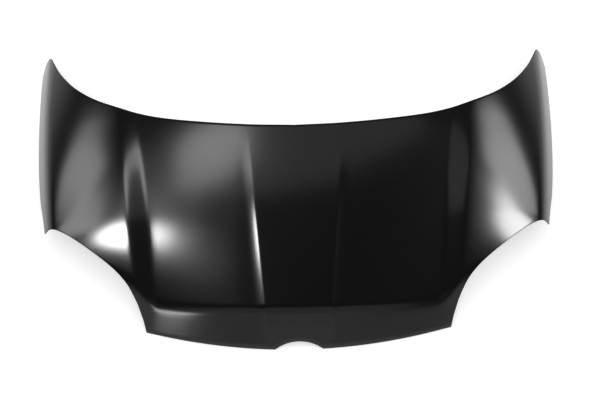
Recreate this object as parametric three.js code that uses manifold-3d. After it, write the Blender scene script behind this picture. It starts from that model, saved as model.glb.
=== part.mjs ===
// Car bonnet in pressed steel: a hemmed outer skin over an inner frame, with hinge plates, striker and
// mastic pads. Millimetres. X is across the car, Y runs from the nose to the windscreen, Z is up. Left and
// right are as seen from in front of the nose, so +X is right.

import * as THREE from 'three';
import Module from 'manifold-3d';
import { mergeVertices } from 'three/addons/utils/BufferGeometryUtils.js';

const wasm = await Module();
wasm.setup();

// Sheet metal
const skinSheet = 0.8;
const frameSheet = 0.8;
const hemReturn = 11;
const hemClearance = 0.5;
const seatGap = 0.3;

// Crown of the skin: a parabola along its middle, and how its fall to the shoulder is shared across
const noseTop = 60;
const crownRise = 0.335;
const crownSag = 54.9;
const rearMiddle = 560;
const crownGentle = 0.45;

// Shoulder, where the top rolls over into the side walls
const lampCornerY = 320;
const lampCornerOut = 13;
const tipY = 875;
const tipOut = 76;
const shoulderStart = 330;
const shoulderRun = 560;
const shoulderHalfWidth = 656;
const shoulderSpread = 74;
const shoulderTuck = 26;
const shoulderHeight = 91;
const shoulderLift = 20;
const shoulderDrop = 52;
const shoulderRadius = 6;
const wallSlope = 2.2;
const wallFootFront = 57;
const wallFootRear = -1;
const cornerDroop = 55.6;
const droopX = 400;
const droopRun = 330;

// Nose face
const noseSlope = 1.12;
const noseRound = 10;
const noseSweep = 55.9;
const frontCornerX = 394;
const cornerTurn = 0.2;
const cornerTurnRadius = 12;

// Notch in the middle of the front edge
const notchHalfWidth = 62;
const notchDepth = 14;
const notchSplay = 0.05;

// Fine creases and the swell between them
const creaseX = 77;
const creaseSplay = 0.09;
const creaseHeight = 3;
const creaseFlank = 30;
const creaseRadius = 2;
const swellRiseRun = 60;
const swellFallRun = 250;

// Wide ledges
const ledgeInnerX = 352;
const ledgeOuterX = 402;
const ledgeSplay = 0.117;
const ledgeHeight = 12;
const ledgeRearLoss = 7;
const ledgeLossStart = 420;
const ledgeLossRun = 180;
const ledgeStartX = 150;
const ledgeRadius = 9;

// Inner frame
const frameDepth = 25;
const landDepth = 5.3;
const frameWallRun = 20;
const rootRun = 3;
const rootDrop = 0.6;
const neckRun = 8;
const neckDrop = 8.6;
const rimWallRun = 9;
const rimLand = 15;
const windowCorner = 34;
const sideBow = 0.014;
const shoulderClear = 25;
const loosePitch = 62;
const looseClear = 24;

// Hinge pads, plates and nuts
const hingeInset = 50;
const hingeY = 600;
const hingePadWidth = 46;
const hingePadLength = 108;
const hingePadDepth = 28;
const hingeBoltSpacing = 70;
const hingeBoltHole = 9;
const hingePlateSheet = 2;
const padCorner = 8;
const padWallRun = 9;
const padEdgeClearance = 4;
const nutAcross = 13;
const nutHeight = 6.5;
const nutBore = 6.8;

// Striker
const strikerY = 106;
const strikerPadWidth = 150;
const strikerPadLength = 50;
const strikerPadDepth = 30;
const latchPlateSheet = 1.5;
const strikerPlateWidth = 86;
const strikerPlateLength = 40;
const strikerPlateSheet = 2.5;
const strikerWire = 8;
const strikerReach = 38;
const strikerSpan = 46;
const strikerBend = 10;

// Mastic pads
const masticRadius = 5.5;
const masticTopGap = 0.6;

// Drain holes
const drainRadius = 7;
const drainCutHeight = 16;

const hingeX = shoulderHalfWidth - hingeInset;
const sheetGap = frameSheet + 2 * hemClearance;
const foldRadius = skinSheet + sheetGap / 2;

// A cubic curve y(x) through a few points
function curveThrough(points) {
  const slope = (k) => {
    const a = points[Math.max(k - 1, 0)];
    const b = points[Math.min(k + 1, points.length - 1)];
    return (b[1] - a[1]) / (b[0] - a[0]);
  };
  return (x) => {
    let k = 0;
    while (k < points.length - 2 && x > points[k + 1][0]) k += 1;
    const [x0, y0] = points[k];
    const [x1, y1] = points[k + 1];
    const span = x1 - x0;
    const t = Math.min(Math.max((x - x0) / span, 0), 1);
    const h = t * t * (3 - 2 * t);
    const rise0 = t * (1 - t) * (1 - t) * span * slope(k);
    const rise1 = t * t * (t - 1) * span * slope(k + 1);
    return y0 * (1 - h) + y1 * h + rise0 + rise1;
  };
}

const clamp01 = (t) => Math.min(Math.max(t, 0), 1);
const ease = (t) => clamp01(t) ** 2 * (3 - 2 * clamp01(t));
const lerp = (a, b, t) => a + (b - a) * t;

// The same curve through points given as shares of the way from one corner to another
function curveBetween(from, to, shares) {
  return curveThrough(shares.map(([s, t]) => [lerp(from[0], to[0], s), lerp(from[1], to[1], t)]));
}

const softStep = (t, radius) => (t + Math.sqrt(t * t + radius * radius)) / 2;
const softPlus = (t) => (t > 30 ? t : Math.log1p(Math.exp(t)));

// Lines that run from front to rear
const crownHeight = (y) => noseTop + crownRise * y - crownSag * (y / rearMiddle) ** 2;
const shoulderShare = (y) => (y - shoulderStart) / shoulderRun;
const alongShoulder = (start, slope, bend) => (y) => (
  start + slope * shoulderShare(y) - bend * shoulderShare(y) ** 2
);
const shoulderX = alongShoulder(shoulderHalfWidth, shoulderSpread, shoulderTuck);
const shoulderZ = alongShoulder(shoulderHeight, shoulderLift, shoulderDrop);
const creaseLine = (y) => creaseX + creaseSplay * y;
const ledgeInner = (y) => ledgeInnerX + ledgeSplay * y;
const ledgeOuter = (y) => ledgeOuterX + ledgeSplay * y;

// The ledge tips the surface down towards its inner line, lifts it to its outer line and eases off to the
// shoulder
function ledge(x, y) {
  const inner = ledgeInner(y);
  const outer = ledgeOuter(y);
  const edge = shoulderX(y);
  const step = (p) => softStep(x - p, ledgeRadius);
  const fall = (step(ledgeStartX) - step(inner)) / (inner - ledgeStartX);
  const lift = (step(inner) - step(outer)) / (outer - inner);
  const off = (step(outer) - step(edge)) / (edge - outer);
  const height = ledgeHeight - ledgeRearLoss * ease((y - ledgeLossStart) / ledgeLossRun);
  return height * (lift - (fall + off) / 2);
}

// The swell between the two creases
function swell(x, y) {
  const outside = softStep(x - creaseLine(y), creaseRadius) / creaseFlank;
  const fade = ease(y / swellRiseRun) * ease((rearMiddle - y) / swellFallRun);
  return creaseHeight * fade * Math.max(1 - outside, 0) ** 2;
}

function topHeight(x, y) {
  const share = Math.min(x / shoulderX(y), 1);
  const fall = crownHeight(y) - shoulderZ(y);
  const crown = crownHeight(y) - fall * (crownGentle * share ** 2 + (1 - crownGentle) * share ** 5);
  const edgeSlope = (fall * (2 * crownGentle + 5 * (1 - crownGentle))) / shoulderX(y);
  const past = x - shoulderX(y);
  const rolled = shoulderRadius * softPlus(past / shoulderRadius);
  const wall = edgeSlope * Math.max(past, 0) + (wallSlope - edgeSlope) * rolled;
  const droop = cornerDroop * (x / droopX) ** 2 * clamp01(1 - y / droopRun) ** 2;
  return crown - wall - droop + ledge(x, y);
}

// Front edge in plan: a parabola that runs on as a straight line past the front corners
function frontLine(x) {
  const bowed = Math.min(x, frontCornerX);
  const past = x - bowed;
  const square = bowed * bowed - notchHalfWidth * notchHalfWidth + 2 * frontCornerX * past;
  return (noseSweep * square) / frontCornerX ** 2;
}

function noseHeight(x, y) {
  const turn = (x - frontCornerX) / cornerTurnRadius;
  const foot = frontLine(x) + cornerTurn * cornerTurnRadius * softPlus(turn);
  const bend = (2 * noseSweep * Math.min(x, frontCornerX)) / frontCornerX ** 2;
  const tilt = bend + cornerTurn / (1 + Math.exp(-turn));
  return (noseSlope * (y - foot)) / Math.hypot(1, tilt);
}

// Height of the outer surface of the skin at any place in plan
function skinHeight(across, y) {
  const x = Math.abs(across);
  const top = topHeight(x, y);
  const nose = noseHeight(x, y);
  const blend = clamp01(0.5 + (0.5 * (nose - top)) / noseRound);
  return lerp(nose, top, blend) - noseRound * blend * (1 - blend) + swell(x, y);
}

function skinNormal(x, y) {
  const d = 0.5;
  const alongX = (skinHeight(x + d, y) - skinHeight(x - d, y)) / (2 * d);
  const alongY = (skinHeight(x, y + d) - skinHeight(x, y - d)) / (2 * d);
  return new THREE.Vector3(-alongX, -alongY, 1).normalize();
}

const onSkin = (p) => new THREE.Vector3(p.x, p.y, skinHeight(p.x, p.y));

// Outline in plan, right half, as curves through a few points
const frontCorner = [frontCornerX, frontLine(frontCornerX)];
const lampEdge = curveBetween(frontCorner, [shoulderHalfWidth + lampCornerOut, lampCornerY], [
  [0, 0], [0.033, 0.122], [0.084, 0.239], [0.16, 0.371], [0.265, 0.492], [0.385, 0.601],
  [0.535, 0.725], [0.684, 0.842], [0.807, 0.932], [0.895, 0.974], [0.949, 0.992], [1, 1],
]);
const rearEdge = curveBetween([0, rearMiddle], [shoulderHalfWidth + tipOut, tipY], [
  [0, 0], [0.164, 0.016], [0.328, 0.057], [0.484, 0.121], [0.587, 0.197], [0.683, 0.298], [0.758, 0.406],
  [0.825, 0.546], [0.877, 0.695], [0.914, 0.844], [0.939, 0.971], [0.956, 1.054], [0.974, 1.079],
  [0.989, 1.063], [1, 1],
]);
const notchEdge = curveBetween([0, notchDepth], [notchHalfWidth, 0], [
  [0, 0], [0.5, 0.214], [0.806, 0.643], [1, 1],
]);

// Height of the lower edge of the side wall, and where the wall reaches it
const wallFoot = curveBetween([lampCornerY, wallFootFront], [tipY, wallFootRear], [
  [0, 0], [0.09, 0.12], [0.189, 0.345], [0.351, 0.517], [0.494, 0.603], [0.735, 0.776], [0.937, 0.966],
  [1, 1],
]);

function wallX(y) {
  let x = shoulderX(y) + shoulderRadius;
  for (let round = 0; round < 12; round += 1) x += (skinHeight(x, y) - wallFoot(y)) / wallSlope;
  return x;
}

// Places along the rear edge that still belong to the tip
const tipPlaces = 5;

function halfOutline() {
  const points = [];
  const marks = {};
  const add = (x, y) => points.push(new THREE.Vector2(x, y));
  for (let k = 0; k < 8; k += 1) add((notchHalfWidth * k) / 8, notchEdge((notchHalfWidth * k) / 8));
  marks.notchCorner = points.length;
  for (let k = 0; k < 16; k += 1) {
    const x = lerp(notchHalfWidth, frontCornerX, k / 16);
    add(x, frontLine(x));
  }
  marks.frontCorner = points.length;
  const lampEndX = wallX(lampCornerY);
  for (let k = 0; k < 48; k += 1) {
    const x = lerp(frontCornerX, lampEndX, (k / 48) ** 1.2);
    add(x, lampEdge(x));
  }
  marks.lampCorner = points.length;
  for (let k = 0; k < 48; k += 1) {
    const y = lerp(lampCornerY, tipY, k / 48);
    add(wallX(y), y);
  }
  const tipX = wallX(tipY);
  for (let k = 0; k < 96; k += 1) {
    const x = tipX * (1 - (k / 96) ** 1.6);
    add(x, rearEdge(x));
    if (k <= tipPlaces) marks.tip = points.length;
  }
  add(0, rearMiddle);
  return { points, marks };
}

// Turns of the outline sharper than this sine are corners
const sharpTurn = 0.35;

// Each point of the outline moved inwards by the hem's return, measured along the sloping skin
function insetOutline(points) {
  const sides = [];
  for (let k = 0; k < points.length - 1; k += 1) {
    const along = points[k + 1].clone().sub(points[k]).normalize();
    const inward = new THREE.Vector2(-along.y, along.x);
    const middle = points[k].clone().lerp(points[k + 1], 0.5);
    const reach = middle.clone().addScaledVector(inward, 5);
    const slope = (skinHeight(reach.x, reach.y) - skinHeight(middle.x, middle.y)) / 5;
    sides.push({ inward, run: hemReturn / Math.hypot(1, slope) });
  }
  return points.map((point, k) => {
    const a = sides[Math.max(k - 1, 0)];
    const b = sides[Math.min(k, sides.length - 1)];
    const cross = a.inward.x * b.inward.y - a.inward.y * b.inward.x;
    if (k === 0 || k === points.length - 1) return new THREE.Vector2(0, point.y + a.inward.y * a.run);
    if (Math.abs(cross) < sharpTurn) {
      const run = (a.run + b.run) / 2;
      return point.clone().add(a.inward.clone().add(b.inward).setLength(run));
    }
    return new THREE.Vector2(
      point.x + (a.run * b.inward.y - b.run * a.inward.y) / cross,
      point.y + (b.run * a.inward.x - a.run * b.inward.x) / cross,
    );
  });
}

const { points: outline, marks } = halfOutline();
const inset = insetOutline(outline);

function pointAt(polyline, u) {
  const k = Math.min(Math.floor(u), polyline.length - 2);
  return polyline[k].clone().lerp(polyline[k + 1], u - k);
}

// Position along the inset outline, from index first to index last, where a measure changes sign
function crossing(measure, first, last) {
  for (let k = first; k < last; k += 1) {
    const a = measure(inset[k]);
    const b = measure(inset[k + 1]);
    if (a === 0) return k;
    if (a * b < 0) return k + a / (a - b);
  }
  return last;
}

// Columns of the skin's mesh, from the middle outwards, as x(y)
const notchQ = inset[marks.notchCorner];
const cornerQ = inset[marks.frontCorner];
const notchLine = (y) => notchQ.x + notchSplay * (y - notchQ.y);
const cornerLine = (y) => cornerQ.x + ledgeSplay * (y - cornerQ.y);
const flankLine = (y) => creaseLine(y) + creaseFlank;
const rollLine = (y) => shoulderX(y) - shoulderClear;
const between = (f, g, t) => (y) => lerp(f(y), g(y), t);
const beside = (f, d) => (y) => f(y) + d;
const columnLines = [
  () => 0,
  between(() => 0, notchLine, 0.5),
  notchLine,
  beside(creaseLine, -creaseRadius),
  beside(creaseLine, 1.5 * creaseRadius),
  beside(creaseLine, creaseFlank / 2),
  flankLine,
  between(flankLine, ledgeInner, 0.25),
  between(flankLine, ledgeInner, 0.5),
  between(flankLine, ledgeInner, 0.75),
  beside(ledgeInner, -ledgeRadius),
  beside(ledgeInner, ledgeRadius),
  cornerLine,
  beside(ledgeOuter, -ledgeRadius),
  ledgeOuter,
  beside(ledgeOuter, ledgeRadius),
  beside(ledgeOuter, 2.5 * ledgeRadius),
  between(ledgeOuter, rollLine, 0.2),
  between(ledgeOuter, rollLine, 0.4),
  between(ledgeOuter, rollLine, 0.6),
  between(ledgeOuter, rollLine, 0.8),
  rollLine,
  beside(shoulderX, -2.8 * shoulderRadius),
  beside(shoulderX, -1.7 * shoulderRadius),
  beside(shoulderX, -0.7 * shoulderRadius),
  beside(shoulderX, 0.2 * shoulderRadius),
  between(shoulderX, wallX, 0.16),
  between(shoulderX, wallX, 0.28),
  between(shoulderX, wallX, 0.4),
];
const notchColumn = columnLines.indexOf(notchLine);
const cornerColumn = columnLines.indexOf(cornerLine);
const rollColumn = columnLines.indexOf(rollLine);
const wallColumn = columnLines.length;

// Where the top meets the nose face on a column
function noseBreak(line, start) {
  let low = start;
  let high = start + 2 * noseTop;
  for (let round = 0; round < 24; round += 1) {
    const y = (low + high) / 2;
    const x = line(y);
    if (noseHeight(x, y) < topHeight(x, y)) low = y;
    else high = y;
  }
  return low;
}

const noseRows = [0, 0.5];
const foldRows = [-1.1, 0, 1.1];
const topRows = 12;
const shortestNose = 14;
const lastRow = noseRows.length + foldRows.length + topRows - 1;

function rowPositions(start, end, bend) {
  const depth = Math.max(bend - start, shortestNose);
  const reach = Math.min(noseRound, depth / 4);
  const rows = noseRows.map((share) => start + share * (depth - reach * 1.1));
  foldRows.forEach((share) => rows.push(start + depth + share * reach));
  const first = rows[rows.length - 1];
  for (let k = 1; k <= topRows; k += 1) rows.push(lerp(first, end, k / topRows));
  return rows;
}

// Right half of the skin's grid: for each column the places in plan, and the outline's points beside its ends
function halfGrid() {
  const cells = [];
  const edges = { front: [], rear: [], side: [] };
  columnLines.forEach((line, i) => {
    const measure = (q) => q.x - line(q.y);
    let front = crossing(measure, 0, marks.lampCorner);
    if (i === 0) front = 0;
    if (i === notchColumn) front = marks.notchCorner;
    if (i === cornerColumn) front = marks.frontCorner;
    const rear = i === 0 ? inset.length - 1 : crossing(measure, marks.tip, inset.length - 1);
    const start = pointAt(inset, front);
    const end = pointAt(inset, rear);
    const rows = rowPositions(start.y, end.y, noseBreak(line, start.y));
    const column = rows.map((y) => new THREE.Vector2(line(y), y));
    column[0] = start;
    column[lastRow] = end;
    cells.push(column);
    edges.front.push(pointAt(outline, front));
    edges.rear.push(pointAt(outline, rear));
  });
  const neighbour = cells[wallColumn - 1];
  const start = inset[marks.lampCorner];
  const end = inset[marks.tip];
  const share = (y) => (y - neighbour[0].y) / (neighbour[lastRow].y - neighbour[0].y);
  const sideCell = neighbour.map((p, j) => {
    const y = lerp(start.y, end.y, share(p.y));
    let u = crossing((q) => q.y - y, marks.lampCorner, marks.tip);
    if (j === 0) u = marks.lampCorner;
    if (j === lastRow) u = marks.tip;
    edges.side.push(pointAt(outline, u));
    return pointAt(inset, u);
  });
  cells.push(sideCell);
  return { cells, edges };
}

const { cells: rightCells, edges: rightEdges } = halfGrid();

const mirrored = (p, sign) => new THREE.Vector2(sign * p.x, p.y);
const cellAt = (i, j) => mirrored(rightCells[Math.abs(i)][j], Math.sign(i) || 1);

// The rim of the grid, anticlockwise from above, with the outline's point beside each place
function rimPlaces() {
  const rim = [];
  const put = (i, j, edge) => rim.push({ i, j, q: cellAt(i, j), p: mirrored(edge, Math.sign(i) || 1) });
  for (let i = -wallColumn + 1; i < wallColumn; i += 1) put(i, 0, rightEdges.front[Math.abs(i)]);
  for (let j = 0; j <= lastRow; j += 1) put(wallColumn, j, rightEdges.side[j]);
  for (let i = wallColumn - 1; i > -wallColumn; i -= 1) put(i, lastRow, rightEdges.rear[Math.abs(i)]);
  for (let j = lastRow; j >= 0; j -= 1) put(-wallColumn, j, rightEdges.side[j]);
  rim.forEach((place) => {
    place.outer = onSkin(place.p);
    place.inner = onSkin(place.q);
    place.outerNormal = skinNormal(place.p.x, place.p.y);
    place.innerNormal = skinNormal(place.q.x, place.q.y);
    const away = place.outer.clone().sub(place.inner);
    away.addScaledVector(place.outerNormal, -away.dot(place.outerNormal));
    place.away = away.normalize();
    place.band = place.outer.distanceTo(place.inner);
  });
  return rim;
}

const rim = rimPlaces();

// A place under the hem band: reach is measured inwards from the fold, depth downwards from the outer surface
function underBand(place, reach, depth) {
  const outer = place.outer.clone().addScaledVector(place.outerNormal, -depth);
  const inner = place.inner.clone().addScaledVector(place.innerNormal, -depth);
  return outer.lerp(inner, reach / hemReturn);
}

// A place further in than the band, at a depth under the skin there
function pastBand(place, run, depth) {
  const plan = place.q.clone().addScaledVector(place.q.clone().sub(place.p), run / hemReturn);
  return onSkin(plan).addScaledVector(skinNormal(plan.x, plan.y), -depth);
}

// The step up through a sheet whose lower face lies at that depth under the band
function stepUp(place, reach, depth, sheetThickness) {
  return underBand(place, reach, depth - sheetThickness).sub(underBand(place, reach, depth));
}

// A sheet being laid out: vertices with the step through the sheet's thickness, and triangles
class Sheet {
  constructor() {
    this.places = [];
    this.steps = [];
    this.triangles = [];
  }

  vertex(place, step) {
    this.places.push(place);
    this.steps.push(step);
    return this.places.length - 1;
  }

  quad(a, b, c, d) {
    this.triangles.push([a, b, c], [a, c, d]);
  }

  quadOtherWay(a, b, c, d) {
    this.triangles.push([a, b, d], [b, c, d]);
  }

  // Joins two rings of the same length, the first one outside the second
  strip(outside, inside, otherWay = false) {
    outside.forEach((a, k) => {
      const next = (k + 1) % outside.length;
      if (otherWay) this.quadOtherWay(a, outside[next], inside[next], inside[k]);
      else this.quad(a, outside[next], inside[next], inside[k]);
    });
  }

  // Twice the area in plan of a triangle, positive if it runs anticlockwise
  turn(a, b, c) {
    const [p, q, r] = [a, b, c].map((k) => this.places[k]);
    return (q.x - p.x) * (r.y - p.y) - (q.y - p.y) * (r.x - p.x);
  }

  // Cotangent of the angle at a, seen in plan
  cotangent(a, b, c) {
    const [p, q, r] = [a, b, c].map((k) => this.places[k]);
    return ((q.x - p.x) * (r.x - p.x) + (q.y - p.y) * (r.y - p.y)) / this.turn(a, b, c);
  }

  // Fills the space in plan between a ring and the rings inside it, by way of loose vertices in that space
  fill(outside, insides = [], loose = []) {
    const flat = (ring) => ring.map((k) => new THREE.Vector2(this.places[k].x, this.places[k].y));
    const all = outside.concat(...insides);
    const faces = THREE.ShapeUtils.triangulateShape(flat(outside), insides.map(flat)).map(([a, b, c]) => {
      const face = [all[a], all[b], all[c]];
      return this.turn(...face) > 0 ? face : face.reverse();
    });
    loose.forEach((d) => {
      const home = faces.findIndex(([a, b, c]) => (
        this.turn(a, b, d) > 0 && this.turn(b, c, d) > 0 && this.turn(c, a, d) > 0
      ));
      const [a, b, c] = faces[home];
      faces.splice(home, 1, [a, b, d], [b, c, d], [c, a, d]);
    });
    while (this.swapDiagonals(faces));
    this.triangles.push(...faces);
  }

  // Swaps the side that two triangles share wherever that makes them rounder, and tells whether it did
  swapDiagonals(faces) {
    const owner = new Map();
    faces.forEach((face, k) => face.forEach((a, s) => owner.set(`${a} ${face[(s + 1) % 3]}`, [k, s])));
    const touched = new Set();
    faces.forEach((face, k) => face.forEach((a, s) => {
      const b = face[(s + 1) % 3];
      const [other, place] = owner.get(`${b} ${a}`) || [];
      if (other === undefined || touched.has(k) || touched.has(other)) return;
      const c = face[(s + 2) % 3];
      const d = faces[other][(place + 2) % 3];
      const thin = this.cotangent(c, a, b) + this.cotangent(d, b, a) < -1e-6;
      if (!thin || this.turn(c, a, d) < 1e-3 || this.turn(d, b, c) < 1e-3) return;
      faces[k] = [c, a, d];
      faces[other] = [d, b, c];
      touched.add(k).add(other);
    }));
    return touched.size > 0;
  }

  // The closed solid: both faces of the sheet, joined round every free edge
  solid() {
    const count = this.places.length;
    const positions = [];
    this.places.forEach((p) => positions.push(p.x, p.y, p.z));
    this.places.forEach((p, k) => positions.push(...p.clone().add(this.steps[k]).toArray()));
    const used = new Set();
    this.triangles.forEach((t) => t.forEach((a, k) => used.add(`${a} ${t[(k + 1) % 3]}`)));
    const index = [];
    this.triangles.forEach(([a, b, c]) => index.push(a, b, c, c + count, b + count, a + count));
    this.triangles.forEach((t) => t.forEach((a, k) => {
      const b = t[(k + 1) % 3];
      if (!used.has(`${b} ${a}`)) index.push(b, a, a + count, b, a + count, b + count);
    }));
    const geometry = new THREE.BufferGeometry();
    geometry.setAttribute('position', new THREE.Float32BufferAttribute(positions, 3));
    geometry.setIndex(index);
    return geometry;
  }
}

// Outer skin: the grid, the band round it, the rolled hem and its return flange
function outerSkin() {
  const sheet = new Sheet();
  const inwards = (normal) => normal.clone().multiplyScalar(-skinSheet);
  const grid = new Map();
  for (let i = -wallColumn; i <= wallColumn; i += 1) {
    for (let j = 0; j <= lastRow; j += 1) {
      const p = cellAt(i, j);
      grid.set(`${i} ${j}`, sheet.vertex(onSkin(p), inwards(skinNormal(p.x, p.y))));
    }
  }
  const at = (i, j) => grid.get(`${i} ${j}`);
  for (let i = -wallColumn; i < wallColumn; i += 1) {
    for (let j = 0; j < lastRow; j += 1) {
      const cell = [at(i, j), at(i + 1, j), at(i + 1, j + 1), at(i, j + 1)];
      if (i < 0) sheet.quad(...cell);
      else sheet.quadOtherWay(...cell);
    }
  }
  const foldTurns = [0, 0.25, 0.5, 0.75, 1];
  let previous = rim.map(({ i, j }) => at(i, j));
  foldTurns.forEach((turn) => {
    const ring = rim.map((place) => {
      const angle = Math.PI * turn;
      const facing = place.outerNormal.clone().multiplyScalar(Math.cos(angle));
      facing.addScaledVector(place.away, Math.sin(angle));
      const p = place.outer.clone().addScaledVector(place.outerNormal, -foldRadius);
      return sheet.vertex(p.addScaledVector(facing, foldRadius), inwards(facing));
    });
    sheet.strip(ring, previous);
    previous = ring;
  });
  const depth = 2 * foldRadius;
  const lip = rim.map((place) => (
    sheet.vertex(underBand(place, hemReturn, depth), stepUp(place, hemReturn, depth, skinSheet))
  ));
  sheet.strip(lip, previous, true);
  return sheet.solid();
}

// A ring of places in plan round a rounded polygon, with its long sides divided evenly and bowed slightly
// outwards
function roundedRing(corners, radius, sideParts) {
  const ring = [];
  corners.forEach((corner, k) => {
    const before = corners[(k + corners.length - 1) % corners.length];
    const after = corners[(k + 1) % corners.length];
    const toBefore = before.clone().sub(corner).normalize();
    const toAfter = after.clone().sub(corner).normalize();
    const half = Math.acos(toBefore.dot(toAfter)) / 2;
    const back = radius / Math.tan(half);
    const start = corner.clone().addScaledVector(toBefore, back);
    const end = corner.clone().addScaledVector(toAfter, back);
    const towards = toBefore.clone().add(toAfter).normalize();
    const centre = corner.clone().addScaledVector(towards, radius / Math.sin(half));
    const from = Math.atan2(start.y - centre.y, start.x - centre.x);
    let sweep = Math.atan2(end.y - centre.y, end.x - centre.x) - from;
    if (sweep < 0) sweep += 2 * Math.PI;
    const arcParts = 4;
    for (let s = 0; s <= arcParts; s += 1) {
      const angle = from + (sweep * s) / arcParts;
      ring.push(new THREE.Vector2(centre.x + radius * Math.cos(angle), centre.y + radius * Math.sin(angle)));
    }
    const nextHalf = Math.acos(
      corner.clone().sub(after).normalize()
        .dot(corners[(k + 2) % corners.length].clone().sub(after).normalize()),
    ) / 2;
    const nextStart = after.clone().addScaledVector(toAfter, -radius / Math.tan(nextHalf));
    const outwards = new THREE.Vector2(toAfter.y, -toAfter.x);
    const bow = 4 * sideBow * end.distanceTo(nextStart);
    for (let s = 1; s < sideParts; s += 1) {
      const t = s / sideParts;
      ring.push(end.clone().lerp(nextStart, t).addScaledVector(outwards, bow * t * (1 - t)));
    }
  });
  return ring;
}

// A ring moved inwards (or outwards, if the run is negative), keeping its number of places
function insetRing(ring, run) {
  return ring.map((p, k) => {
    const before = ring[(k + ring.length - 1) % ring.length];
    const after = ring[(k + 1) % ring.length];
    const a = p.clone().sub(before).normalize();
    const b = after.clone().sub(p).normalize();
    const inward = new THREE.Vector2(-a.y - b.y, a.x + b.x);
    return p.clone().addScaledVector(inward, run / (1 + a.dot(b)));
  });
}

const corner = (x, y) => new THREE.Vector2(x, y);
const shared = (x, y) => corner(x * shoulderHalfWidth, y * rearMiddle);
const rightWindows = {
  inner: [shared(0.271, 0.271), shared(0.454, 0.346), shared(0.476, 0.843), shared(0.338, 0.814)],
  outer: [shared(0.576, 0.457), shared(0.823, 0.686), shared(0.835, 0.979), shared(0.604, 0.882)],
};
const middleWindow = [
  shared(-0.137, 0.329), shared(0.137, 0.329), shared(0.201, 0.807), shared(-0.201, 0.807),
];

const mirroredRing = (ring) => ring.map((p) => mirrored(p, -1)).reverse();
const windowRings = [
  roundedRing(middleWindow, windowCorner, 5),
  roundedRing(rightWindows.inner, windowCorner, 4),
  roundedRing(rightWindows.outer, windowCorner, 4),
];
windowRings.push(mirroredRing(windowRings[1]), mirroredRing(windowRings[2]));

const padRing = (x, y, width, length, grow) => roundedRing([
  corner(x - width / 2 - grow, y - length / 2 - grow), corner(x + width / 2 + grow, y - length / 2 - grow),
  corner(x + width / 2 + grow, y + length / 2 + grow), corner(x - width / 2 - grow, y + length / 2 + grow),
], padCorner + grow, 2);

const circleRing = (x, y, radius, parts) => Array.from({ length: parts }, (_, k) => {
  const angle = (2 * Math.PI * (k + 0.3)) / parts;
  return new THREE.Vector2(x + radius * Math.cos(angle), y + radius * Math.sin(angle));
});

// Undersides of the flat pads that carry the hinges and the striker
const hingePadZ = skinHeight(hingeX, hingeY) - hingePadDepth;
const strikerPadZ = skinHeight(0, strikerY) - strikerPadDepth;
const hingeBoltYs = [hingeY - hingeBoltSpacing / 2, hingeY + hingeBoltSpacing / 2];

const drainPlaces = [
  shared(0.224, 0.446), shared(0.248, 0.643), shared(0, 0.905), shared(0.427, 0.946),
  shared(0.655, 1.01), shared(0.912, 0.839), shared(0.381, 0.188),
];

// Between drawn geometry and solids that can be cut
function toSolid(geometry) {
  geometry.deleteAttribute('normal');
  geometry.deleteAttribute('uv');
  const merged = mergeVertices(geometry);
  const vertProperties = new Float32Array(merged.getAttribute('position').array);
  const triVerts = new Uint32Array(merged.getIndex().array);
  return new wasm.Manifold(new wasm.Mesh({ numProp: 3, vertProperties, triVerts }));
}

function toGeometry(solid) {
  const mesh = solid.getMesh();
  const geometry = new THREE.BufferGeometry();
  geometry.setAttribute('position', new THREE.Float32BufferAttribute(mesh.vertProperties, 3));
  geometry.setIndex(Array.from(mesh.triVerts));
  return geometry;
}

function drainCutter(x, y) {
  const geometry = new THREE.CylinderGeometry(drainRadius, drainRadius, drainCutHeight, 10);
  return toSolid(geometry.rotateX(Math.PI / 2).translate(x, y, skinHeight(x, y) - frameDepth));
}

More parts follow.
